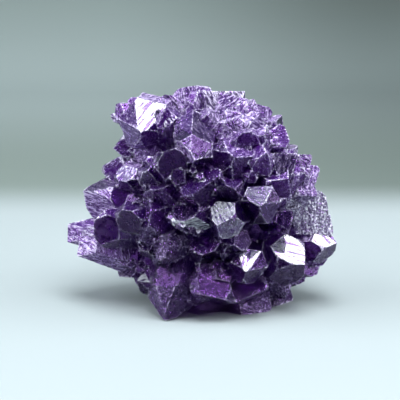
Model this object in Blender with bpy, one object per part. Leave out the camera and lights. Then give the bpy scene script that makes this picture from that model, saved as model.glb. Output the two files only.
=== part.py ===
"""An amethyst cluster: quartz crystals grown together into one solid, about 55 mm across.

It models the stone at its real size, in metres, with +Z up. The origin is the middle of the
underside, and the face that the crystals spread towards looks along -Y.
"""

import math
import random

import bmesh
import bpy
from mathutils import Matrix, Vector

MM = 0.001
SEED = 7

# The heart of the stone, from which the crystals spread, the reach of their tips, and the
# share of that reach that is solid. A crystal's root ends at a share of the solid's depth.
HEART = Vector((4.6, 5.0, 21.0)) * MM
REACH_ACROSS = 22.5 * MM
REACH_TOWARD = 18.0 * MM
REACH_UP = 22.5 * MM
SOLID_SHARE = 0.74
ROOT_SHARE = 0.6

# The front is measured in a picture plane that looks down on the stone by this angle: across
# from the middle of the stone's foot, and up from the floor, in mm
LOOK_DOWN = math.radians(12)
PICTURE_UP = Vector((0, math.sin(LOOK_DOWN), math.cos(LOOK_DOWN)))
PICTURE_TOWARD = Vector((0, -math.cos(LOOK_DOWN), math.sin(LOOK_DOWN)))

# The outline of the stone in that plane, clockwise from the left
OUTLINE = [
    (-27.1, 15.6), (-21.0, 17.6), (-18.8, 19.4), (-23.5, 22.4), (-21.2, 26.5), (-16.4, 30.3),
    (-17.4, 31.7), (-16.8, 36.2), (-18.0, 38.4), (-16.4, 40.6), (-13.1, 41.9), (-8.1, 41.7),
    (-2.0, 44.5), (0.8, 43.7), (2.0, 42.1), (4.4, 43.1), (8.3, 42.5), (13.7, 40.2),
    (17.4, 34.0), (20.2, 30.5), (23.1, 28.1), (23.9, 23.9), (26.1, 18.0), (27.1, 12.5),
    (25.3, 8.9), (23.1, 5.5), (18.8, 2.6), (14.2, -0.4), (0.0, -1.4), (-6.9, -2.6), (-9.1, 1.2),
    (-12.5, 3.4), (-15.4, 6.5), (-20.8, 7.5), (-25.9, 11.3), (-27.1, 12.3),
]

# Quartz: a tip face stands at this angle to the crystal's long axis
TIP_FACE_TILT = math.radians(51.8)
PRISM_SIDES = 6
SIDE_RANGE = (0.86, 1.12)
SMALL_FACE_RANGE = (0.03, 0.16)
QUARTZ_IOR = 1.544
AMETHYST_COLOUR = (0.085, 0.03, 0.2, 1)
AMETHYST_ROUGHNESS = 0.12

# Crystals of the front: name, across and up in the plane, width over the flats, how far the
# tip stands out past the even reach, all in mm, where the crystal points (across, up, toward),
# spin in degrees, which at 0 turns an edge of the tip to the front and at 180 a face, and the
# share of the width by which the tip is cut to a chisel
FRONT_CRYSTALS = [
    ("shoulder_spur", -18.2, 38.4, 2.8, -1.0, (-0.9, 0.3, 0.2), 0, 0.0),
    ("shoulder_rim", -16.6, 40.6, 4.2, 0.0, (-0.45, 0.7, 0.3), 20, 0.1),
    ("shoulder_top", -11.5, 41.9, 7.0, 0.0, (-0.1, 0.9, 0.3), 180, 0.25),
    ("shoulder_low", -17.6, 31.5, 5.2, 0.0, (-0.8, -0.1, 0.6), 30, 0.0),
    ("upper_dark", -6.5, 39.2, 5.0, 4.0, (-0.1, 0.72, 0.7), 170, 0.0),
    ("crown", -1.8, 44.1, 8.2, 0.0, (-0.05, 0.72, 0.7), 10, 0.1),
    ("crown_left", -6.3, 42.3, 7.0, 0.0, (-0.2, 0.75, 0.6), 170, 0.1),
    ("crown_right", 0.4, 42.9, 4.8, 0.0, (0.2, 0.75, 0.55), 0, 0.1),
    ("crown_plate", 4.9, 42.7, 8.2, -1.0, (0.05, 0.8, 0.55), 180, 0.35),
    ("crown_fold", 6.9, 41.5, 6.4, 0.0, (0.15, 0.8, 0.5), 150, 0.3),
    ("pale_left", 9.9, 40.8, 6.2, 0.0, (0.2, 0.8, 0.5), 20, 0.1),
    ("pale_right", 12.3, 39.6, 5.4, 0.0, (0.35, 0.7, 0.5), 160, 0.2),
    ("upper_right", 11.7, 37.6, 7.4, 1.0, (0.35, 0.5, 0.8), 175, 0.0),
    ("upper_right_low", 12.5, 33.6, 6.6, 1.0, (0.35, 0.35, 0.85), 150, 0.0),
    ("rim_one", 15.6, 37.2, 4.8, 0.0, (0.5, 0.6, 0.5), 30, 0.2),
    ("rim_knob", 17.0, 34.0, 5.0, 0.5, (0.7, 0.35, 0.5), 90, 0.2),
    ("rim_two", 18.8, 31.3, 4.6, 0.0, (0.6, 0.5, 0.5), 20, 0.1),
    ("right_ridge", 16.6, 30.1, 5.2, 0.5, (0.25, 0.75, 0.6), 180, 0.3),
    ("right_pillar", 19.4, 29.9, 5.0, 0.5, (0.2, 0.85, 0.5), 180, 0.3),
    ("right_pillar_low", 21.8, 27.9, 4.6, 0.0, (0.35, 0.8, 0.45), 170, 0.2),
    ("right_shelf", 22.4, 23.9, 4.8, 0.0, (0.8, 0.3, 0.45), 90, 0.3),
    ("right_pale", 25.7, 18.4, 9.8, 0.5, (0.7, 0.15, 0.65), 100, 0.25),
    ("right_ledge", 26.7, 10.1, 4.6, 0.0, (0.8, -0.4, 0.4), 0, 0.1),
    ("right_under", 25.3, 8.3, 5.4, 0.0, (0.7, -0.5, 0.45), 60, 0.1),
    ("right_low", 23.1, 5.7, 6.2, 0.0, (0.6, -0.6, 0.5), 20, 0.1),
    ("violet", 12.7, 30.1, 7.0, 2.0, (0.3, 0.4, 0.85), 175, 0.0),
    ("violet_low", 17.0, 25.1, 7.4, 1.0, (0.5, 0.2, 0.85), 150, 0.0),
    ("grey_edge", 16.8, 29.1, 5.2, 0.0, (0.4, 0.5, 0.75), 0, 0.1),
    ("kite_back", 1.4, 37.6, 7.6, 1.0, (0.0, 0.5, 0.87), 165, 0.0),
    ("middle", 6.5, 29.1, 9.6, 2.5, (0.1, 0.15, 0.98), 100, 0.0),
    ("middle_dark", 8.9, 34.0, 6.4, 1.5, (0.1, 0.45, 0.9), 190, 0.1),
    ("top_sparkle", 5.5, 36.4, 7.2, 0.5, (0.05, 0.55, 0.85), 20, 0.1),
    ("top_left_dark", -2.8, 34.8, 6.0, 1.5, (-0.15, 0.4, 0.9), 160, 0.0),
    ("dark_rhomb", -5.9, 30.5, 7.4, 4.5, (-0.25, 0.5, 0.83), 200, 0.1),
    ("rhomb_low", -10.1, 26.7, 6.6, 2.5, (-0.35, 0.2, 0.9), 40, 0.0),
    ("long_edge", 1.2, 23.9, 8.4, 2.5, (0.15, 0.2, 0.97), 35, 0.25),
    ("edge_dark", 5.7, 23.5, 6.2, 1.0, (0.1, 0.05, 0.99), 160, 0.1),
    ("horn_back", -18.2, 28.9, 7.0, -1.0, (-0.6, 0.55, 0.5), 30, 0.2),
    ("left_gap", -19.6, 18.6, 3.6, 0.0, (-0.9, 0.0, 0.4), 20, 0.0),
    ("far_left", -26.9, 14.2, 4.6, -1.0, (-0.99, 0.02, 0.15), 90, 0.3),
    ("far_left_low", -24.5, 11.7, 4.4, 1.5, (-0.95, 0.2, 0.25), 100, 0.3),
    ("left_wall", -14.0, 19.0, 6.4, 4.5, (-0.3, 0.3, 0.9), 170, 0.1),
    ("left_centre", -9.7, 17.4, 9.4, 2.5, (-0.3, 0.0, 0.95), 80, 0.1),
    ("left_low", -10.1, 10.9, 6.8, 2.0, (-0.35, -0.25, 0.9), 30, 0.0),
    ("left_top", -8.1, 23.1, 7.0, 1.5, (-0.3, 0.2, 0.93), 10, 0.1),
    ("hex_centre", -2.0, 17.4, 7.4, 2.5, (-0.1, -0.05, 0.99), 25, 0.1),
    ("grey_low", 6.5, 12.5, 5.8, 2.0, (0.05, -0.15, 0.98), 50, 0.0),
    ("low_dark", 1.6, 10.9, 8.2, 1.0, (0.0, -0.25, 0.97), 20, 0.1),
    ("pale_sparkle", -6.5, 10.9, 6.6, 3.0, (-0.15, -0.25, 0.95), 75, 0.1),
    ("foot", -6.7, -2.4, 9.4, 12.6, (-0.2, -0.85, 0.5), 175, 0.0),
    ("foot_side", -1.6, 0.8, 6.0, 7.0, (0.05, -0.7, 0.7), 150, 0.1),
    ("base_block", 2.4, 2.4, 8.4, 6.5, (0.0, -0.45, 0.9), 165, 0.2),
    ("base_well", 9.9, 2.4, 7.0, 4.5, (0.2, -0.4, 0.9), 25, 0.3),
    ("base_pale", 16.6, 3.2, 8.0, 3.0, (0.35, -0.5, 0.8), 140, 0.1),
    ("base_small", 20.4, 4.2, 5.8, 1.0, (0.5, -0.5, 0.7), 30, 0.1),
    ("base_low", 12.5, 0.0, 5.4, 4.0, (0.2, -0.75, 0.6), 20, 0.1),
    ("left_small", -15.2, 5.5, 6.4, 1.0, (-0.65, -0.5, 0.55), 0, 0.2),
    ("left_under", -11.5, 3.6, 6.4, 3.0, (-0.4, -0.7, 0.55), 10, 0.1),
    ("left_deep", -16.6, 8.5, 7.0, 2.0, (-0.6, -0.3, 0.7), 160, 0.2),
]

# Crystals known by one face of the tip: name, across, up, width and stand-out as above, where
# the face looks (across, up, toward), on which side of the face the tip lies, in degrees
# clockwise from up, and the chisel as above
FACED_CRYSTALS = [
    ("shoulder", -11.5, 34.2, 10.0, 4.0, (0.1, 0.64, 0.76), 194, 0.0),
    ("white_face", 20.4, 8.5, 8.6, 5.0, (0.08, 0.58, 0.81), 142, 0.0),
    ("right_white", 27.1, 12.5, 6.4, 6.5, (0.12, 0.55, 0.83), 112, 0.0),
    ("white_split", 8.7, 7.3, 6.8, 4.5, (0.08, 0.58, 0.81), 190, 0.0),
    ("white_chip", -12.5, 4.9, 3.8, 4.4, (0.1, 0.6, 0.79), 245, 0.0),
    ("mid_right_dark", 11.3, 19.8, 7.6, 3.0, (-0.05, 0.75, 0.65), 178, 0.0),
    ("grey_flake", -15.2, 24.7, 4.8, 3.0, (-0.15, 0.66, 0.74), 190, 0.1),
    ("grey_centre", 3.2, 16.2, 6.8, 3.5, (-0.2, 0.66, 0.72), 185, 0.0),
    ("left_horn", -23.7, 22.8, 10.4, 0.0, (-0.25, 0.88, 0.4), 229, 0.0),
    ("left_block", -21.0, 15.2, 7.4, 7.0, (-0.25, -0.05, 0.97), 270, 0.15),
    ("kite", -1.0, 28.5, 6.8, 4.0, (0.35, 0.33, 0.87), 206, 0.0),
]

# Little crystals in three short rows, grown parallel, so that one face of each looks the same
# way: across, up and stand-out of each tip
LITTLE_CRYSTALS = [
    (-5.5, 17.2, 0.2),
    (-4.2, 16.4, 1.6),
    (-3.2, 15.8, 2.7),
    (-1.8, 15.2, 1.4),
    (-0.4, 14.6, 0.4),
    (-1.4, 26.1, 1.1),
    (0.0, 24.9, 1.5),
    (1.4, 23.7, 1.9),
    (2.6, 22.6, 1.0),
    (0.8, 2.0, 6.5),
    (2.2, 2.6, 5.5),
    (3.6, 3.4, 4.3),
]
LITTLE_WIDTH = (1.7 * MM, 2.4 * MM)
LITTLE_LOOK = (0.08, 0.58, 0.81)
LITTLE_SIDE = 185

# Crystals whose sides widen towards the root by more than the rest do, in degrees
USUAL_TAPER = 3
TAPERS = {"far_left": 13, "far_left_low": 8, "left_horn": 6, "foot": 5}

# Parallel growth: a wide crystal carries smaller ones on its sides that point the same way.
# Their width, their distance from its axis and how far back their tips lie are shares of its
# width. The plain ones carry none.
GROWTH_HOST = 5.0
GROWTH_COUNT = 3
GROWTH_WIDTH = (0.28, 0.5)
GROWTH_ASIDE = (0.36, 0.5)
GROWTH_BACK = (0.25, 0.6)
PLAIN = {"far_left", "far_left_low", "foot"}

# Crystals that fill the rest: the even spread that they are drawn from, their widths and
# reach, the room that they need beside another tip, how far inside the outline they stay,
# and how much they lean and are cut to a chisel
FILL_SPREAD = 260
FILL_WIDTHS = (4.4 * MM, 7.4 * MM)
FILL_REACH = (0.86, 0.99)
FILL_ROOM = 0.42
FILL_MARGIN = 0.93
FILL_STEP_IN = 0.97
FILL_LEAN = 0.16
FILL_CHISELS = (0.0, 0.1, 0.25)

# The crystals that the stone stands on point down through the floor and are cut flat there
SOLE_COUNT = 7
SOLE_MIDDLE = Vector((4.6, 3.0)) * MM
SOLE_RING = Vector((8.6, 6.4)) * MM
SOLE_WIDTH = 9.4 * MM
SOLE_DEPTH = 6.5 * MM
SOLE_SPREAD = 0.35

# The stone was broken off the rock behind it, along a rough face that leans forward
BREAK_MIDDLE = Vector((3.0, 15.5, 14.0)) * MM
BREAK_NORMAL = Vector((0.05, 0.93, -0.36)).normalized()
BREAK_SPAN = 80 * MM
BREAK_CELLS = 22
BREAK_RELIEF = 1.5 * MM
BREAK_SHIFT = 0.3


def half_space_cut(mesh, point, normal):
    """Cuts away what lies beyond a plane and closes the cut with one flat face."""
    everything = mesh.verts[:] + mesh.edges[:] + mesh.faces[:]
    bmesh.ops.bisect_plane(
        mesh, geom=everything, dist=1e-8, plane_co=point, plane_no=normal, clear_outer=True
    )
    rim = [edge for edge in mesh.edges if edge.is_boundary]
    if rim:
        bmesh.ops.edgeloop_fill(mesh, edges=rim)


def crystal_mesh(width, length, chisel, taper, draw):
    """A six-sided crystal with its tip at the origin and its long axis along +Z.

    Three of its tip faces are large and three small, as in amethyst, and no two sides lie at
    quite the same distance from the axis. A chisel cuts two opposite tip faces deeper.
    """
    mesh = bmesh.new()
    half = width / 2
    bmesh.ops.create_cube(mesh, size=2)
    for vertex in mesh.verts:
        vertex.co.x *= width + length
        vertex.co.y *= width + length
        vertex.co.z = width if vertex.co.z > 0 else -length
    shoulder = Vector((0, 0, -half * math.tan(TIP_FACE_TILT)))
    for side in range(PRISM_SIDES):
        turn = side * math.tau / PRISM_SIDES
        outward = Vector((math.cos(turn), math.sin(turn), 0))
        point = shoulder + outward * half * draw.uniform(*SIDE_RANGE)
        half_space_cut(mesh, point, outward + Vector((0, 0, math.tan(math.radians(taper)))))
    for side in range(PRISM_SIDES):
        turn = side * math.tau / PRISM_SIDES
        normal = Vector(
            (
                math.cos(turn) * math.sin(TIP_FACE_TILT),
                math.sin(turn) * math.sin(TIP_FACE_TILT),
                math.cos(TIP_FACE_TILT),
            )
        )
        set_out = width * chisel
        if side % 2:
            set_out += width * draw.uniform(*SMALL_FACE_RANGE)
        if chisel and side % (PRISM_SIDES // 2) == 0:
            set_out = 0.0
        half_space_cut(mesh, normal * set_out, normal)
    return mesh


def core_radius(direction):
    """How far the core reaches from the heart in a direction."""
    across = direction.x / REACH_ACROSS
    toward = direction.y / REACH_TOWARD
    up = direction.z / REACH_UP
    return SOLID_SHARE / math.sqrt(across**2 + toward**2 + up**2)


def place_crystal(name, tip, direction, width, spin, chisel, draw, into, face=PICTURE_UP):
    """A crystal with its tip in place, whose root ends inside the core.

    Its first tip face looks along the face vector as nearly as its direction allows, and is
    then turned by the spin.
    """
    out = tip - HEART
    length = out.length - ROOT_SHARE * core_radius(out.normalized())
    mesh = crystal_mesh(width, length, chisel, TAPERS.get(name, USUAL_TAPER), draw)
    outward = (face - direction * face.dot(direction)).normalized()
    sideways = direction.cross(outward)
    turn = Matrix((outward, sideways, direction)).transposed().to_4x4()
    mesh.transform(Matrix.Translation(tip) @ turn @ Matrix.Rotation(math.radians(spin), 4, "Z"))
    bmesh.ops.recalc_face_normals(mesh, faces=mesh.faces)
    data = bpy.data.meshes.new(name)
    mesh.to_mesh(data)
    mesh.free()
    crystal = bpy.data.objects.new(name, data)
    crystal.hide_render = True
    crystal.display_type = "WIRE"
    into.objects.link(crystal)


def front_crystal(name, tip, direction, width, spin, chisel, draw, into):
    """A crystal of the front with the smaller ones that grew on its sides, parallel to it."""
    place_crystal(name, tip, direction, width, spin, chisel, draw, into)
    if width < GROWTH_HOST * MM or name in PLAIN:
        return
    aside = direction.orthogonal().normalized()
    for _ in range(GROWTH_COUNT):
        turn = Matrix.Rotation(draw.uniform(0, math.tau), 3, direction)
        step = turn @ aside * width * draw.uniform(*GROWTH_ASIDE)
        place = tip + step - direction * width * draw.uniform(*GROWTH_BACK)
        small = width * draw.uniform(*GROWTH_WIDTH)
        if in_outline(place):
            place_crystal("growth", place, direction, small, spin, chisel, draw, into)


def faced_crystal(name, tip, width, looks, side, chisel, draw, into):
    """A crystal with one face of its tip turned a wanted way."""
    face = picture_vector(*looks).normalized()
    turn = math.radians(side)
    lean = picture_vector(math.sin(turn), math.cos(turn), 0)
    lean = (lean - face * lean.dot(face)).normalized()
    direction = face * math.cos(TIP_FACE_TILT) + lean * math.sin(TIP_FACE_TILT)
    place_crystal(name, tip, direction, width, 0, chisel, draw, into, face)


def picture_vector(across, up, toward):
    return Vector((across, 0, 0)) + PICTURE_UP * up + PICTURE_TOWARD * toward


def front_tip(across, up, stand_out):
    """The tip in space: on the even reach of the stone where the picture plane shows it."""
    flat = Vector((across * MM, 0, 0)) + PICTURE_UP * up * MM
    aside = flat - HEART
    over = (aside.x / REACH_ACROSS) ** 2 + (aside.dot(PICTURE_UP) / REACH_UP) ** 2
    toward = REACH_TOWARD * math.sqrt(max(0.0, 1 - over))
    flat -= PICTURE_TOWARD * (flat - HEART).dot(PICTURE_TOWARD)
    return flat + PICTURE_TOWARD * (toward + stand_out * MM)


def in_outline(point):
    """Whether the picture plane shows a point inside the outline of the stone."""
    across = point.x / MM
    up = point.dot(PICTURE_UP) / MM
    inside = False
    for (ax, ay), (bx, by) in zip(OUTLINE, OUTLINE[1:] + OUTLINE[:1]):
        if (ay > up) != (by > up) and across < ax + (up - ay) * (bx - ax) / (by - ay):
            inside = not inside
    return inside


def even_directions(count):
    """Directions spread evenly over a ball, along a golden-angle spiral."""
    golden = math.pi * (3 - math.sqrt(5))
    for step in range(count):
        height = 1 - 2 * (step + 0.5) / count
        ring = math.sqrt(1 - height * height)
        yield Vector((ring * math.cos(golden * step), ring * math.sin(golden * step), height))


def fill_crystals(taken, draw, into):
    """Smaller crystals wherever the front's leave room, round the sides and the back."""
    for direction in even_directions(FILL_SPREAD):
        width = draw.uniform(*FILL_WIDTHS)
        reach = draw.uniform(*FILL_REACH)
        lean = Vector([draw.gauss(0, FILL_LEAN) for _ in range(3)])
        spin = draw.uniform(0, 120)
        chisel = draw.choice(FILL_CHISELS)
        out = Vector(
            (direction.x * REACH_ACROSS, direction.y * REACH_TOWARD, direction.z * REACH_UP)
        )
        while not in_outline(HEART + out * reach / FILL_MARGIN):
            reach *= FILL_STEP_IN
        tip = HEART + out * reach
        if any((tip - other).length < FILL_ROOM * (width + wide) for other, wide in taken):
            continue
        taken.append((tip, width))
        aim = (tip - HEART).normalized() + lean
        place_crystal("fill", tip, aim.normalized(), width, spin, chisel, draw, into)


def sole_crystals(draw, into):
    """One crystal straight down and a ring of them round it, for the stone to stand on."""
    for step in range(SOLE_COUNT):
        turn = step * math.tau / (SOLE_COUNT - 1)
        ring = min(step, 1)
        aside = Vector((math.cos(turn) * SOLE_RING.x, math.sin(turn) * SOLE_RING.y, 0)) * ring
        tip = SOLE_MIDDLE.to_3d() - Vector((0, 0, SOLE_DEPTH)) + aside * (1 + SOLE_SPREAD)
        root = HEART / 2 + SOLE_MIDDLE.to_3d() / 2 + aside * (1 - SOLE_SPREAD)
        direction = (tip - root).normalized()
        place_crystal("sole", tip, direction, SOLE_WIDTH, draw.uniform(0, 60), 0, draw, into)


def break_slab(draw):
    """A closed slab whose near face is a rough break and whose far side is out of the stone."""
    bpy.ops.mesh.primitive_grid_add(
        x_subdivisions=BREAK_CELLS, y_subdivisions=BREAK_CELLS, size=BREAK_SPAN
    )
    slab = bpy.context.active_object
    slab.name = "break_cutter"
    mesh = bmesh.new()
    mesh.from_mesh(slab.data)
    cell = BREAK_SPAN / BREAK_CELLS
    for vertex in mesh.verts:
        vertex.co.x += draw.uniform(-BREAK_SHIFT, BREAK_SHIFT) * cell
        vertex.co.y += draw.uniform(-BREAK_SHIFT, BREAK_SHIFT) * cell
        vertex.co.z += draw.uniform(-BREAK_RELIEF, BREAK_RELIEF)
    lifted = bmesh.ops.extrude_face_region(mesh, geom=mesh.faces[:])
    for vertex in (g for g in lifted["geom"] if isinstance(g, bmesh.types.BMVert)):
        vertex.co.z = BREAK_SPAN / 2
    bmesh.ops.triangulate(mesh, faces=mesh.faces)
    bmesh.ops.recalc_face_normals(mesh, faces=mesh.faces)
    turn = BREAK_NORMAL.to_track_quat("Z", "Y").to_matrix().to_4x4()
    mesh.transform(Matrix.Translation(BREAK_MIDDLE) @ turn)
    mesh.to_mesh(slab.data)
    mesh.free()
    slab.hide_render = True
    slab.display_type = "WIRE"
    return slab


def boolean(target, operation, cutter=None, collection=None):
    """Joins or cuts the target with one object or a whole collection, and applies it."""
    step = target.modifiers.new(operation.lower(), "BOOLEAN")
    step.operation = operation
    step.solver = "EXACT"
    if collection:
        step.operand_type = "COLLECTION"
        step.collection = collection
    else:
        step.object = cutter
    with bpy.context.temp_override(object=target, active_object=target):
        bpy.ops.object.modifier_apply(modifier=step.name)


def shells(mesh):
    """The vertices of each connected surface of a mesh."""
    waiting = set(mesh.verts)
    while waiting:
        reached = [waiting.pop()]
        shell = []
        while reached:
            vertex = reached.pop()
            shell.append(vertex)
            for edge in vertex.link_edges:
                other = edge.other_vert(vertex)
                if other in waiting:
                    waiting.remove(other)
                    reached.append(other)
        yield shell


def keep_outer_shell(stone):
    """Fills the pockets closed off between crystals, and drops any loose chip."""
    mesh = bmesh.new()
    mesh.from_mesh(stone.data)
    found = sorted(shells(mesh), key=len)
    for shell in found[:-1]:
        bmesh.ops.delete(mesh, geom=shell, context="VERTS")
    mesh.to_mesh(stone.data)
    mesh.free()


def stand_at_origin(stone):
    """Moves the stone so that the middle of its box stands on the origin."""
    corners = [vertex.co for vertex in stone.data.vertices]
    middle = Vector(
        (
            (min(c.x for c in corners) + max(c.x for c in corners)) / 2,
            (min(c.y for c in corners) + max(c.y for c in corners)) / 2,
            min(c.z for c in corners),
        )
    )
    stone.data.transform(Matrix.Translation(-middle))


def amethyst():
    """Clear violet quartz."""
    material = bpy.data.materials.new("amethyst")
    material.use_nodes = True
    surface = material.node_tree.nodes["Principled BSDF"]
    surface.inputs["Base Color"].default_value = AMETHYST_COLOUR
    surface.inputs["Roughness"].default_value = AMETHYST_ROUGHNESS
    surface.inputs["Metallic"].default_value = 0.0
    surface.inputs["IOR"].default_value = QUARTZ_IOR
    surface.inputs["Transmission Weight"].default_value = 1.0
    return material


def main():
    for old in list(bpy.data.objects):
        bpy.data.objects.remove(old)
    draw = random.Random(SEED)
    scene = bpy.context.scene
    crystals = bpy.data.collections.new("crystals")
    scene.collection.children.link(crystals)
    taken = []
    for name, across, up, width, stand_out, aim, spin, chisel in FRONT_CRYSTALS:
        tip = front_tip(across, up, stand_out)
        direction = picture_vector(*aim).normalized()
        front_crystal(name, tip, direction, width * MM, spin, chisel, draw, crystals)
        taken.append((tip, width * MM))
    for name, across, up, width, stand_out, looks, side, chisel in FACED_CRYSTALS:
        tip = front_tip(across, up, stand_out)
        faced_crystal(name, tip, width * MM, looks, side, chisel, draw, crystals)
        taken.append((tip, width * MM))
    for across, up, stand_out in LITTLE_CRYSTALS:
        tip = front_tip(across, up, stand_out)
        width = draw.uniform(*LITTLE_WIDTH)
        faced_crystal("little", tip, width, LITTLE_LOOK, LITTLE_SIDE, 0.0, draw, crystals)
    fill_crystals(taken, draw, crystals)
    sole_crystals(draw, crystals)
    bpy.ops.mesh.primitive_ico_sphere_add(subdivisions=3, radius=1, location=HEART)
    stone = bpy.context.active_object
    stone.scale = (REACH_ACROSS * SOLID_SHARE, REACH_TOWARD * SOLID_SHARE, REACH_UP * SOLID_SHARE)
    bpy.ops.object.transform_apply(location=True, rotation=True, scale=True)
    stone.name = "amethyst_cluster"
    slab = break_slab(draw)
    bpy.ops.mesh.primitive_cube_add(size=BREAK_SPAN, location=(0, 0, -BREAK_SPAN / 2))
    ground = bpy.context.active_object
    ground.name = "ground_cutter"
    ground.hide_render = True
    ground.display_type = "WIRE"
    boolean(stone, "UNION", collection=crystals)
    boolean(stone, "DIFFERENCE", cutter=slab)
    boolean(stone, "DIFFERENCE", cutter=ground)
    for helper in [slab, ground, *crystals.objects]:
        bpy.data.objects.remove(helper)
    keep_outer_shell(stone)
    stand_at_origin(stone)
    stone.data.materials.append(amethyst())


main()
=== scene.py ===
"""The looks of an amethyst cluster: clear violet quartz on a pale table in soft studio light."""

import math
import random

import bmesh
import bpy
from mathutils import Matrix, Vector, noise
from mathutils.bvhtree import BVHTree


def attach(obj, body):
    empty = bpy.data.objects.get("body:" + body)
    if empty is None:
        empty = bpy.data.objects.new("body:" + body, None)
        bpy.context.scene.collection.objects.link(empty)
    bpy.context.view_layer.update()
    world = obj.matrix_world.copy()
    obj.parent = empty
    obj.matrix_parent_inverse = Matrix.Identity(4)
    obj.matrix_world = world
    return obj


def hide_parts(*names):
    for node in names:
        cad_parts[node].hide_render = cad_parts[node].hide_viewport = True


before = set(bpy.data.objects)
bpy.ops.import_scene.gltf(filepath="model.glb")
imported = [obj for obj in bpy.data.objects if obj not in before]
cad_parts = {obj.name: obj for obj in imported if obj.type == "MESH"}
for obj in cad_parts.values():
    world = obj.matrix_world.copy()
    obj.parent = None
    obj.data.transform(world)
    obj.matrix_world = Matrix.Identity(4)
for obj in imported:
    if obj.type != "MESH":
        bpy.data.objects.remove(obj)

MM = 0.001
SEED = 11

# The camera looks down by this angle on the middle of a picture plane through the stone
LOOK_DOWN = math.radians(12)
PICTURE_UP = Vector((0, math.sin(LOOK_DOWN), math.cos(LOOK_DOWN)))
TOWARD_CAMERA = Vector((0, -math.cos(LOOK_DOWN), math.sin(LOOK_DOWN)))
PICTURE_FOOT = Vector((-0.084, -2.973, 0)) * MM
PICTURE_MIDDLE = 21.03 * MM
PICTURE_WIDTH = 80.88 * MM
CAMERA_DISTANCE = 300 * MM
CAMERA_NEAREST = 10 * MM
SENSOR_WIDTH = 36

# The table ends in one sweep that rises into the wall, far behind the stone
TABLE_BACK = 300 * MM
TABLE_FRONT = -900 * MM
SWEEP_RADIUS = 120 * MM
SWEEP_STEPS = 12
STAGE_WIDTH = 1600 * MM
WALL_TOP = 1100 * MM
STAGE_ROUGHNESS = 0.6

# The table has a painted shade before this band, which lies in front of the stone
TABLE_TONE = (0.190, 0.225, 0.238, 1)
TABLE_SHADE_TONE = (0.05, 0.06, 0.065, 1)
TABLE_DARKENS = (-180 * MM, -100 * MM)

# The wall's tones at its foot, in its palest band and at its top, which are painted light and
# shade, and how much painted shadow lies over the right side of each
WALL_FOOT = (0.090, 0.117, 0.110, 1), 0.33
WALL_PALEST = (0.147, 0.184, 0.187, 1), 0.48
WALL_HIGH = (0.076, 0.105, 0.101, 1), 0.86
WALL_SHADOW = (0.003, 0.010, 0.008, 1)

# Where one tone gives way to the next, measured back along the table and up the wall together,
# and how far across the painted shadow grows
TABLE_ENDS = (78 * MM, 124 * MM)
WALL_GROWS_PALE = (140 * MM, 300 * MM)
WALL_GROWS_DARK = (330 * MM, 460 * MM)
SHADOW_GROWS = (-50 * MM, 90 * MM)

# Soft lights: name, place, aim, width and depth in metres, and power in watts
LIGHTS = [
    ("overhead", (0.04, -0.12, 0.40), (0.0, -0.07, 0.02), (0.24, 0.29), 4.0),
    ("left", (-0.65, -0.15, 0.46), (0.0, 0.0, 0.0), (0.72, 0.72), 10.5),
    ("right", (0.65, -0.15, 0.46), (0.0, 0.0, 0.0), (0.72, 0.72), 9.0),
]

# The room's own light is weak low down and in front, and strong high up and behind
ROOM_TONE = (0.88, 0.96, 1.0, 1)
ROOM_RISES = (0.2, 0.8)
ROOM_STRENGTHS = (0.05, 1.8)
ROOM_LEAN = 0.8
LIGHT_BOUNCES = 16
GLOSSY_BOUNCES = 12

# Longest edges of the stone's fine mesh: under druse, on the front and at the back
DRUSE_EDGE = 0.3 * MM
FRONT_EDGE = 0.75 * MM
BACK_EDGE = 1.3 * MM
FINE_ROUNDS = 7
MERGE_DISTANCE = 0.001 * MM

# Faces that turn by less than this are one crystal face, and an edge that turns by more than the
# rim's angle is a rim, or a crevice where it turns inwards
FLAT_ANGLE = math.radians(0.5)
RIM_ANGLE = math.radians(15)

# The small crystal faces of a sparkling patch: how wide they are and how much they tilt
DRUSE_CELL = 0.6 * MM
DRUSE_TILT = 0.5
DRUSE_LEAST = 0.25

# Patches of the stone: across and up in the picture plane, and radius, all in mm, how pale the
# faces there are, and how much fine druse covers them
PATCHES = [
    (-5.5, 40.5, 4.5, 1.0, 0.3),
    (-1.5, 42.5, 3.0, 0.6, 0.2),
    (5.5, 41.0, 4.5, 1.3, 0.0),
    (9.5, 38.5, 5.0, 1.2, 0.2),
    (13.0, 39.5, 3.5, 0.8, 0.3),
    (5.0, 35.5, 3.5, 0.7, 0.5),
    (16.0, 32.0, 3.5, 0.6, 0.2),
    (20.5, 29.0, 4.0, 0.8, 0.2),
    (22.0, 20.5, 6.0, 2.3, 0.8),
    (23.5, 18.6, 4.5, 2.6, 0.5),
    (21.0, 17.5, 3.5, 1.8, 0.8),
    (24.0, 16.0, 3.0, 1.8, 0.5),
    (-5.5, 10.5, 3.0, 0.8, 1.0),
    (-8.5, 13.0, 2.5, 0.6, 0.6),
    (-6.0, 1.5, 5.5, 0.6, 0.8),
    (15.5, 3.0, 4.5, 0.9, 0.8),
    (20.0, 6.0, 3.0, 0.6, 0.4),
    (-22.5, 9.5, 6.5, 1.4, 0.3),
    (-26.0, 14.5, 3.0, 1.3, 0.2),
    (-20.5, 25.5, 4.5, 1.8, 0.2),
    (-22.0, 21.5, 3.5, 1.0, 0.2),
    (-12.5, 28.5, 4.0, 0.8, 0.3),
    (-16.0, 34.0, 3.5, 0.4, 0.2),
    (5.5, 17.5, 2.5, 0.3, 0.8),
    (-3.5, 33.0, 2.5, 0.9, 0.7),
    (0.0, 32.5, 3.0, 0.7, 0.0),
    (20.0, 36.0, 4.0, 0.8, 0.2),
    (14.0, 34.5, 3.0, 0.4, 0.2),
]

# Which of a patch's two shares is meant: how pale it is, or how much druse covers it
PALE, DRUSE = 0, 1

# A patch fades out at this many radii, over this many, and its faces differ in how pale they are
PATCH_REACH = 1.5
PATCH_FADE = 0.6
PALE_SPREAD = (0.45, 1.1)

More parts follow.
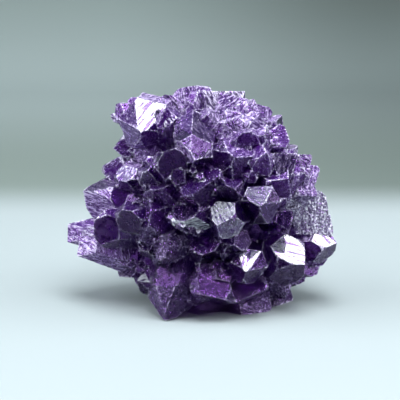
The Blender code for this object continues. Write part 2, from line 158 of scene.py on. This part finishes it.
# Clean, glassy faces: across and up in the picture plane
GLASSY = [
    (-10.5, 38.6),
    (17.5, 10.5),
    (24.9, 13.0),
    (26.0, 12.8),
    (23.4, 12.4),
    (9.5, 9.5),
]

# Smooth faces of a deep violet
DEEP = [
    (-6.0, 36.0),
    (-6.5, 35.0),
    (-5.5, 28.0),
    (-4.5, 29.0),
    (-18.5, 14.5),
    (-14.0, 17.5),
    (-16.5, 17.5),
    (13.0, 12.0),
    (9.0, 17.0),
    (12.5, 16.5),
    (2.0, 10.0),
]

# The least wear of a face that isn't clean, and how strong a painted glint a clean face takes
DEEP_WEAR = 0.12
CLEAN_GLINT = 0.5

# Faces with a painted glint, grey to almost white: across and up, and how strongly
GLINTS = [
    (3.3, 18.0, 0.5),
    (3.6, 15.2, 0.4),
    (-14.5, 27.0, 0.3),
    (11.0, 20.6, 0.3),
    (-5.6, 17.2, 0.9),
    (-4.6, 16.6, 0.9),
    (-3.2, 16.0, 0.7),
    (-2.2, 15.6, 0.7),
    (-0.6, 14.8, 0.7),
    (-1.4, 26.3, 0.7),
    (0.2, 24.9, 0.7),
    (-11.1, 5.5, 1.3),
    (-12.0, 5.6, 1.0),
]

# Clear quartz, a polished face, and the violet that light picks up on its way through the stone
QUARTZ_IOR = 1.544
POLISH_IOR = 1.7
CLEAR_QUARTZ = (0.90, 0.80, 0.97, 1)
VIOLET = (0.42, 0.06, 0.60, 1)
VIOLET_DENSITY = 380

# The tones of its worn skin; the almost white of its painted glints, painted edge highlights and
# whitest frosted faces; and the tint of the light that glances off it
DEEP_VIOLET = (0.012, 0.0, 0.07, 1)
BRIGHT_VIOLET = (0.075, 0.008, 0.22, 1)
PALE_LILAC = (0.35, 0.29, 0.48, 1)
NEARLY_WHITE = (0.64, 0.70, 0.72, 1)
SHEEN = (0.48, 0.20, 0.85, 1)

# Painted shade makes the stone darkest round this place low on its front, and a painted glow
# makes it brightest beyond the reach
DARK_HEART = Vector((0.0, -16.0, 14.0)) * MM
DARK_CORE = 11.7 * MM
DARK_REACH = 26 * MM

# Mottlings of the stone: how wide their patches are, and their detail, roughness and distortion
ETCHING = (0.32 * MM, 4, 0.7, 0.0)
FLECKING = (0.45 * MM, 4, 0.75, 0.0)
VEILS = (2.0 * MM, 4, 0.65, 0.8)
CLOUDS = (4.5 * MM, 3, 0.55, 0.5)
STREAKS = (0.6 * MM, 2, 0.5, 0.0)
ETCHING_STRETCH = 5.0
STREAK_STRETCH = 8.0
SPARKLE_SIZE = 0.9 * MM
GRIT_SIZE = 0.42 * MM

# The bands of wear or of a mottling in which a mark sets in
WORN_FACES = (0.0, 0.3)
CLEAN_FACES = (0.02, 0.1)
DEEP_FACES = (0.1, 0.3)
WHITEST_FACES = (1.0, 1.7)
VEIL_BAND = (0.40, 0.56)
CLOUD_BAND = (0.35, 0.65)
LINE_BAND = (0.54, 0.58)
DOT_BAND = (0.50, 0.60)
STROKE_BAND = (0.50, 0.58)
GLINT_BAND = (0.40, 0.52)
SPECK_BAND = (0.61, 0.67)

# How deep the etching and the growth lines are
VEIL_ETCHING = 0.04 * MM
DRUSE_ETCHING = 0.07 * MM
WORN_ETCHING = 0.01 * MM
LINE_DEPTH = 0.03 * MM

# How steeply the sparkling grains and the finer grit tilt
DRUSE_SPARKLE = 0.6
VEIL_SPARKLE = 0.12
RIM_SPARKLE = 0.3
DRUSE_GRIT = 0.6
VEIL_GRIT = 0.14
RIM_GRIT = 0.4

# How rough the glassy skin is
POLISH_ROUGHNESS = 0.01
FROST_ROUGHNESS = 0.08
DULL_ROUGHNESS = 0.25
SKIN_ROUGHNESS = 0.2

# How much each thing brightens or darkens the violet, among them the painted glow and the
# painted shade in the crevices
GLOW_LIGHT = 0.75
CLOUD_LIGHT = 0.35
FLECK_LIGHT = 1.2
FLECK_MIDDLE = 0.5
WEAR_LIGHT = 0.8
WEAR_MIDDLE = 0.45
CREVICE_SHADE = 0.8
CREVICE_PALE_SHADE = 0.7
DEEP_LIGHT = 0.25

# How fast the painted highlights on the rims and their brightest edges narrow
RIM_POWER = 2
EDGE_POWER = 3

# Straight lines, by slope and start: how strongly a mark shows as druse, the painted glow,
# flecks, wear or growth lines increase
DOTS_BY_DRUSE = (0.7, 0.3)
STROKES_BY_DRUSE = (-0.6, 0.9)
VEILS_BY_GLOW = (0.6, 0.1)
PALE_BY_FLECKS = (0.95, 0.15)
RIMS_BY_FLECKS = (0.9, 0.4)
RIMS_BY_GLOW = (0.3, 0.7)
EDGES_BY_GLOW = (0.4, 0.6)
WHITE_BY_FLECKS = (0.7, 0.1)
SPECKS_BY_WEAR = (0.7, 0.3)
WORN_HAZE_BY_GLOW = (0.12, 0.1)
COAT_BY_LINES = (-0.9, 1.0)
GLINT_BY_LINES = (-0.8, 1.0)

# How white the painted edge highlights and the painted sparkling specks are, and how much haze each
# mark lays over the clear quartz
EDGE_WHITE = 0.7
SPECK_WHITE = 0.7
PALE_HAZE = 0.55
GLINT_HAZE = 0.5
EDGE_HAZE = 0.4
SPECK_HAZE = 0.4
LEAST_HAZE = 0.06

# The sockets of a Mix node for its share and its two colours, and the output of its mixed colour
MIX_INPUTS = (0, 6, 7)
MIX_OUTPUT = 2


class Socket:
    """A shader socket that Python's operators turn into Math nodes."""

    def __init__(self, shader, link):
        self.shader = shader
        self.link = link

    def math(self, operation, other):
        return self.shader.node("ShaderNodeMath", {"operation": operation}, [self, other])

    def __add__(self, other):
        return self.math("ADD", other)

    __radd__ = __add__

    def __mul__(self, other):
        return self.math("MULTIPLY", other)

    __rmul__ = __mul__

    def __sub__(self, other):
        return self.math("SUBTRACT", other)

    def __rsub__(self, other):
        return self * -1 + other

    def __pow__(self, other):
        return self.math("POWER", other)

    def line(self, slope, start):
        """This value put on a straight line."""
        return self * slope + start

    def other(self, name):
        """Another output of the same node."""
        return Socket(self.shader, self.link.node.outputs[name])


class Shader:
    """The nodes of a material or of the room's light, built one at a time."""

    def __init__(self, owner, coordinates):
        owner.use_nodes = True
        self.tree = owner.node_tree
        self.place = self.node("ShaderNodeTexCoord", output=coordinates)

    def node(self, kind, settings=None, values=None, output=0):
        """Adds a node, sets it, feeds its sockets and returns one of its outputs."""
        made = self.tree.nodes.new(kind)
        for name, value in (settings or {}).items():
            setattr(made, name, value)
        self.feed(made, values if isinstance(values, dict) else dict(enumerate(values or [])))
        return Socket(self, made.outputs[output])

    def feed(self, made, values):
        """Links or sets the sockets of a node."""
        for name, value in values.items():
            if isinstance(value, Socket):
                self.tree.links.new(value.link, made.inputs[name])
            else:
                made.inputs[name].default_value = value

    def mix(self, amount, first, second):
        """A colour between two others."""
        values = dict(zip(MIX_INPUTS, (amount, first, second)))
        return self.node("ShaderNodeMix", {"data_type": "RGBA"}, values, MIX_OUTPUT)

    def band(self, value, low, high, to_low=0.0, to_high=1.0, curve="SMOOTHSTEP"):
        """A value stretched from one range onto another, and held at its ends."""
        values = {
            "Value": value,
            "From Min": low,
            "From Max": high,
            "To Min": to_low,
            "To Max": to_high,
        }
        return self.node("ShaderNodeMapRange", {"interpolation_type": curve}, values)

    def mottling(self, kind, place=None):
        """A soft mottling of one of the stone's kinds."""
        size, detail, roughness, distortion = kind
        values = {
            "Vector": place or self.place,
            "Scale": 1 / size,
            "Detail": detail,
            "Roughness": roughness,
            "Distortion": distortion,
        }
        return self.node("ShaderNodeTexNoise", {}, values)

    def vector(self, operation, *values, output=0):
        return self.node("ShaderNodeVectorMath", {"operation": operation}, values, output)

    def scaled(self, vector, share):
        values = {0: vector, "Scale": share}
        return self.node("ShaderNodeVectorMath", {"operation": "SCALE"}, values)

    def tilted_cells(self, size):
        """The height of small flat faces about this size, each tilted its own way."""
        cell = self.node("ShaderNodeTexVoronoi", {}, {"Vector": self.place, "Scale": 1 / size})
        tilt = self.vector("SUBTRACT", cell.other("Color"), (0.5, 0.5, 0.5))
        aside = self.vector("SUBTRACT", self.place, cell.other("Position"))
        return self.vector("DOT_PRODUCT", tilt, aside, output="Value")

    def stretched(self, length):
        """Coordinates in which a pattern is drawn out along each face's growth lines."""
        grain = self.node("ShaderNodeAttribute", {"attribute_name": "grain"}, output="Vector")
        along = self.vector("DOT_PRODUCT", self.place, grain, output="Value")
        shrink = self.scaled(self.scaled(grain, along), 1 - 1 / length)
        return self.vector("SUBTRACT", self.place, shrink)

    def distance(self, point):
        return self.vector("DISTANCE", self.place, tuple(point), output="Value")

    def attribute(self, name):
        return self.node("ShaderNodeAttribute", {"attribute_name": name}, output="Fac")


def amethyst():
    """Clear violet quartz, glassy on some faces, worn or frosted on others, pale at its edges by a
    painted highlight.
    """
    material = bpy.data.materials.new("amethyst")
    shader = Shader(material, "Object")
    facet = shader.attribute("facet")
    pale_face = shader.attribute("pale")
    glint = shader.attribute("glint")
    dull = shader.attribute("dull")
    druse = shader.attribute("druse")
    rim = shader.attribute("rim")
    crevice = shader.attribute("crevice")

    etch = shader.mottling(ETCHING, shader.stretched(ETCHING_STRETCH))
    fleck = shader.mottling(FLECKING)
    veil = shader.mottling(VEILS)
    cloud = shader.mottling(CLOUDS)
    streak = shader.mottling(STREAKS, shader.stretched(STREAK_STRETCH))
    sparkle = shader.tilted_cells(SPARKLE_SIZE)
    grit = shader.tilted_cells(GRIT_SIZE)

    worn = shader.band(facet, *WORN_FACES)
    clean = shader.band(facet, *CLEAN_FACES, 1.0, 0.0)
    lines = shader.band(streak, *LINE_BAND)
    frost = shader.band(veil, *VEIL_BAND) * worn

    # The fine relief of the skin
    relief = etch * (frost * VEIL_ETCHING + druse * DRUSE_ETCHING + worn * WORN_ETCHING)
    relief = relief + clean * lines * LINE_DEPTH
    relief = relief + sparkle * (druse * DRUSE_SPARKLE + frost * VEIL_SPARKLE + rim * RIM_SPARKLE)
    relief = relief + grit * (druse * DRUSE_GRIT + frost * VEIL_GRIT + rim * RIM_GRIT)
    bump = shader.node("ShaderNodeBump", {}, {"Height": relief, "Distance": 1.0})

    # The clear quartz
    rough = frost * FROST_ROUGHNESS + druse * FROST_ROUGHNESS + dull * DULL_ROUGHNESS
    glass = shader.tree.nodes["Principled BSDF"]
    shader.feed(glass, {
        "Base Color": CLEAR_QUARTZ,
        "Roughness": rough + POLISH_ROUGHNESS,
        "IOR": QUARTZ_IOR,
        "Normal": bump,
        "Specular Tint": SHEEN,
        "Transmission Weight": 1.0,
        "Coat Weight": clean * lines.line(*COAT_BY_LINES),
        "Coat IOR": POLISH_IOR,
    })

    # The violet of the worn skin, darkest in the middle and in the crevices by painted shade, and
    # lighter further out by a painted glow
    # A painted glow: painted shade round the dark heart, painted light further out
    painted_glow = shader.band(shader.distance(DARK_HEART), DARK_CORE, DARK_REACH)
    tone_and_painted_light = painted_glow * GLOW_LIGHT + shader.band(cloud, *CLOUD_BAND) * CLOUD_LIGHT
    tone_and_painted_light = tone_and_painted_light + (fleck - FLECK_MIDDLE) * FLECK_LIGHT + (facet - WEAR_MIDDLE) * WEAR_LIGHT
    # Painted shade in the crevices, and a darker violet on deep faces
    tone_and_painted_light = (tone_and_painted_light - crevice * CREVICE_SHADE) * shader.band(facet, *DEEP_FACES, DEEP_LIGHT, 1.0)

    # Pale strokes and dots on the frosted skin, and a painted highlight along the rims; painted
    # shade takes paleness out of the crevices
    dots = shader.band(fleck, *DOT_BAND) * druse.line(*DOTS_BY_DRUSE)
    flecks = dots + shader.band(etch, *STROKE_BAND) * druse.line(*STROKES_BY_DRUSE)
    pale = frost * flecks * painted_glow.line(*VEILS_BY_GLOW) + pale_face * flecks.line(*PALE_BY_FLECKS)
    pale = pale * (1 - crevice * CREVICE_PALE_SHADE)
    # A painted highlight along the rims
    pale = pale + rim ** RIM_POWER * flecks.line(*RIMS_BY_FLECKS) * painted_glow.line(*RIMS_BY_GLOW)
    violet = shader.mix(pale, shader.mix(tone_and_painted_light, DEEP_VIOLET, BRIGHT_VIOLET), PALE_LILAC)

    # Almost white painted glints, painted edge highlights, whitest frosted faces and painted
    # sparkling specks
    # Painted highlights on the rims' brightest edges
    edge = rim ** EDGE_POWER * flecks * painted_glow.line(*EDGES_BY_GLOW)
    # Painted sparkling specks, kept out of the painted shade of the crevices
    specks = shader.band(fleck, *SPECK_BAND) * worn.line(*SPECKS_BY_WEAR) * (1 - crevice)
    # Painted glints, broken up by the etching and by a clean face's growth lines
    bright = glint * shader.band(etch, *GLINT_BAND) * (clean * lines).line(*GLINT_BY_LINES)
    bright = bright + shader.band(pale_face, *WHITEST_FACES) * flecks.line(*WHITE_BY_FLECKS)
    bright = bright + edge * EDGE_WHITE + specks * SPECK_WHITE

    skin = shader.node("ShaderNodeBsdfPrincipled", {}, {
        "Base Color": shader.mix(bright, violet, NEARLY_WHITE),
        "Roughness": SKIN_ROUGHNESS,
        "Normal": bump,
        "Specular Tint": SHEEN,
    })
    haze = worn * painted_glow.line(*WORN_HAZE_BY_GLOW) + pale * PALE_HAZE + glint * GLINT_HAZE
    haze = haze + edge * EDGE_HAZE + specks * SPECK_HAZE + LEAST_HAZE
    surface = shader.node("ShaderNodeMixShader", {}, [haze, Socket(shader, glass.outputs[0]), skin])
    values = {"Color": VIOLET, "Density": VIOLET_DENSITY}
    volume = shader.node("ShaderNodeVolumeAbsorption", {}, values)
    shader.feed(shader.tree.nodes["Material Output"], {"Surface": surface, "Volume": volume})
    return material


def table_and_wall_finish():
    """A pale table with painted shade in front of the stone, fading into a grey-green wall of
    painted light and shade, darker towards the right.
    """
    material = bpy.data.materials.new("table_and_wall")
    shader = Shader(material, "Object")
    across = shader.node("ShaderNodeSeparateXYZ", {}, [shader.place])
    back = across.other("Y")
    way = back + across.other("Z")
    # Painted shade on the table in front of the stone
    table = shader.mix(shader.band(back, *TABLE_DARKENS), TABLE_SHADE_TONE, TABLE_TONE)
    # Painted shadow over the wall's right side
    right = shader.band(across, *SHADOW_GROWS)
    foot, palest, high = [
        shader.mix(right * share, tone, WALL_SHADOW)
        for tone, share in (WALL_FOOT, WALL_PALEST, WALL_HIGH)
    ]
    # The wall's painted light and shade: from its foot to its palest band, then darker high up
    wall = shader.mix(shader.band(way, *WALL_GROWS_PALE), foot, palest)
    wall = shader.mix(shader.band(way, *WALL_GROWS_DARK), wall, high)
    shader.feed(shader.tree.nodes["Principled BSDF"], {
        "Base Color": shader.mix(shader.band(way, *TABLE_ENDS), table, wall),
        "Roughness": STAGE_ROUGHNESS,
    })
    return material


def edit(piece):
    """Opens one piece in edit mode with nothing else selected."""
    bpy.ops.object.select_all(action="DESELECT")
    piece.select_set(True)
    bpy.context.view_layer.objects.active = piece
    bpy.ops.object.mode_set(mode="EDIT")


def seen_from_camera(tree, across, up):
    """The place and the number of the face that the picture shows at a point of its plane."""
    eye = PICTURE_FOOT + PICTURE_UP * PICTURE_MIDDLE + TOWARD_CAMERA * CAMERA_DISTANCE
    aim = PICTURE_FOOT + Vector((across * MM, 0, 0)) + PICTURE_UP * up * MM
    place, _, number, _ = tree.ray_cast(eye, (aim - eye).normalized())
    return place, number


def share_at(point, places, which):
    """How pale a point is, or how much druse covers it."""
    most = 0.0
    for place, radius, *shares in places:
        far = (point - place).length / radius
        most = max(most, shares[which] * min(1.0, (PATCH_REACH - far) / PATCH_FADE))
    return most


def mark_faces(piece):
    """Marks how worn and how pale each flat face is, its painted glint, and which way its growth
    lines run.
    """
    mesh = bmesh.new()
    mesh.from_mesh(piece.data)
    tree = BVHTree.FromBMesh(mesh)
    mesh.free()
    places = []
    for across, up, radius, pale, druse in PATCHES:
        place, _ = seen_from_camera(tree, across, up)
        if place:
            places.append((place, radius * MM, pale, druse))
    clean = {seen_from_camera(tree, across, up)[1] for across, up in GLASSY}
    deep = {seen_from_camera(tree, across, up)[1] for across, up in DEEP}
    bright = {seen_from_camera(tree, across, up)[1]: shine for across, up, shine in GLINTS}
    draw = random.Random(SEED)
    marks = piece.data.attributes
    kinds = ["facet", "pale", "glint", "dull"]
    for name in kinds:
        marks.new(name, "FLOAT", "FACE")
    marks.new("grain", "FLOAT_VECTOR", "FACE")
    facet, pale, glint, dull = [marks[name] for name in kinds]
    grain = marks["grain"]
    for face in piece.data.polygons:
        here = share_at(face.center, places, PALE) * draw.uniform(*PALE_SPREAD)
        worn = draw.random()
        turn = Matrix.Rotation(draw.uniform(0, math.tau), 3, face.normal)
        grain.data[face.index].vector = turn @ face.normal.orthogonal().normalized()
        # The listed faces and the clean faces take a painted glint
        glint.data[face.index].value = bright.get(face.index, 0.0)
        if face.index in clean:
            glint.data[face.index].value = CLEAN_GLINT
        if face.index in deep:
            dull.data[face.index].value = 1.0
            facet.data[face.index].value = DEEP_WEAR
        elif face.index not in clean:
            facet.data[face.index].value = max(worn, DEEP_WEAR)
            pale.data[face.index].value = here
    return places


def refine(piece, places):
    """Splits the long edges, a round at a time, finest where druse covers the stone."""
    for _ in range(FINE_ROUNDS):
        bpy.ops.mesh.select_mode(type="EDGE")
        bpy.ops.mesh.select_all(action="DESELECT")
        mesh = bmesh.from_edit_mesh(piece.data)
        for edge in mesh.edges:
            length = edge.calc_length()
            if length < DRUSE_EDGE:
                continue
            middle = (edge.verts[0].co + edge.verts[1].co) / 2
            longest = BACK_EDGE if middle.y > 0 else FRONT_EDGE
            if share_at(middle, places, DRUSE) > DRUSE_LEAST:
                longest = DRUSE_EDGE
            edge.select_set(length > longest)
        bmesh.update_edit_mesh(piece.data)
        bpy.ops.mesh.subdivide(number_cuts=1)
        bpy.ops.mesh.select_all(action="SELECT")
        bpy.ops.mesh.quads_convert_to_tris()


def raise_druse(piece, places):
    """Marks the druse and the rims at each point, and raises the druse's own small faces."""
    mesh = bmesh.new()
    mesh.from_mesh(piece.data)
    druse = mesh.verts.layers.float.new("druse")
    rim = mesh.verts.layers.float.new("rim")
    crevice = mesh.verts.layers.float.new("crevice")
    # Rims carry a painted highlight and crevices a painted shade in the stone's material
    for edge in mesh.edges:
        bend = edge.calc_face_angle_signed(0.0)
        for vertex in edge.verts:
            if bend > RIM_ANGLE:
                vertex[rim] = 1.0
            if bend < -RIM_ANGLE:
                vertex[crevice] = 1.0
    facet = mesh.faces.layers.float["facet"]
    moves = []
    for vertex in mesh.verts:
        if any(face[facet] <= DEEP_WEAR for face in vertex.link_faces):
            continue
        here = share_at(vertex.co, places, DRUSE)
        if here <= DRUSE_LEAST:
            continue
        vertex[druse] = here
        middle = noise.voronoi(vertex.co / DRUSE_CELL)[1][0]
        tilt = noise.cell_vector(middle) * 2 - Vector((1, 1, 1))
        height = tilt.dot(vertex.co / DRUSE_CELL - middle) * DRUSE_CELL * DRUSE_TILT * here
        moves.append((vertex, vertex.normal * height))
    for vertex, move in moves:
        vertex.co += move
        vertex.co.z = max(0.0, vertex.co.z)
    mesh.to_mesh(piece.data)
    mesh.free()


def stone():
    """The whole stone, on the CAD solid's own flat faces."""
    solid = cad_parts["amethyst_cluster"]
    piece = solid.copy()
    piece.data = solid.data.copy()
    piece.name = "amethyst_stone"
    bpy.context.scene.collection.objects.link(piece)
    edit(piece)
    bpy.ops.mesh.select_all(action="SELECT")
    bpy.ops.mesh.remove_doubles(threshold=MERGE_DISTANCE)
    bpy.ops.mesh.dissolve_limited(angle_limit=FLAT_ANGLE)
    bpy.ops.object.mode_set(mode="OBJECT")
    places = mark_faces(piece)
    edit(piece)
    bpy.ops.mesh.select_all(action="SELECT")
    bpy.ops.mesh.quads_convert_to_tris()
    refine(piece, places)
    bpy.ops.object.mode_set(mode="OBJECT")
    raise_druse(piece, places)
    piece.data.materials.clear()
    piece.data.materials.append(amethyst())
    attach(piece, "root")
    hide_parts("amethyst_cluster")


def table_and_wall():
    """Table and wall in one bent sheet: a plane whose back edge is spun up and drawn on."""
    bpy.ops.object.select_all(action="DESELECT")
    bpy.ops.mesh.primitive_plane_add(size=1, location=(0, (TABLE_FRONT + TABLE_BACK) / 2, 0))
    sheet = bpy.context.object
    sheet.name = "table_and_wall"
    sheet.scale = (STAGE_WIDTH, TABLE_BACK - TABLE_FRONT, 1)
    bpy.ops.object.transform_apply(location=True, rotation=True, scale=True)
    edit(sheet)
    bpy.ops.mesh.select_mode(type="EDGE")
    bpy.ops.mesh.select_all(action="DESELECT")
    mesh = bmesh.from_edit_mesh(sheet.data)
    for edge in mesh.edges:
        edge.select_set(all(vertex.co.y > TABLE_BACK - MM for vertex in edge.verts))
    bmesh.update_edit_mesh(sheet.data)
    centre = (0, TABLE_BACK, SWEEP_RADIUS)
    bpy.ops.mesh.spin(steps=SWEEP_STEPS, angle=-math.pi / 2, center=centre, axis=(1, 0, 0))
    rise = {"value": (0, 0, WALL_TOP - SWEEP_RADIUS)}
    bpy.ops.mesh.extrude_region_move(TRANSFORM_OT_translate=rise)
    bpy.ops.object.mode_set(mode="OBJECT")
    bpy.ops.object.shade_smooth()
    sheet.data.materials.append(table_and_wall_finish())


def soft_light(name, place, aim, size, power):
    """A broad light that hangs at a place and is aimed at another."""
    data = bpy.data.lights.new(name, "AREA")
    data.shape = "RECTANGLE"
    data.size, data.size_y = size
    data.energy = power
    light = bpy.data.objects.new(name, data)
    light.location = place
    light.rotation_mode = "QUATERNION"
    light.rotation_quaternion = (Vector(aim) - Vector(place)).to_track_quat("-Z", "Y")
    bpy.context.scene.collection.objects.link(light)


def room_light():
    """The faint light of the room, from high up and behind."""
    world = bpy.data.worlds.new("room")
    bpy.context.scene.world = world
    shader = Shader(world, "Generated")
    parts = shader.node("ShaderNodeSeparateXYZ", {}, [shader.place])
    height = parts.other("Z") + parts.other("Y") * ROOM_LEAN
    strength = shader.band(height, *ROOM_RISES, *ROOM_STRENGTHS, curve="LINEAR")
    values = {"Color": ROOM_TONE, "Strength": strength}
    shader.feed(shader.tree.nodes["Background"], values)


def camera():
    """The camera in front of the stone, looking slightly down on it."""
    data = bpy.data.cameras.new("camera")
    data.sensor_width = SENSOR_WIDTH
    data.lens = SENSOR_WIDTH * CAMERA_DISTANCE / PICTURE_WIDTH
    data.clip_start = CAMERA_NEAREST
    made = bpy.data.objects.new("camera", data)
    made.location = PICTURE_FOOT + PICTURE_UP * PICTURE_MIDDLE + TOWARD_CAMERA * CAMERA_DISTANCE
    made.rotation_mode = "QUATERNION"
    made.rotation_quaternion = (-TOWARD_CAMERA).to_track_quat("-Z", "Y")
    bpy.context.scene.collection.objects.link(made)
    bpy.context.scene.camera = made


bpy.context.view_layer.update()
stone()
table_and_wall()
camera()
room_light()
for light in LIGHTS:
    soft_light(*light)
scene = bpy.context.scene
scene.view_settings.view_transform = "Standard"
scene.cycles.use_denoising = True
scene.cycles.max_bounces = LIGHT_BOUNCES
scene.cycles.transmission_bounces = LIGHT_BOUNCES
scene.cycles.glossy_bounces = GLOSSY_BOUNCES
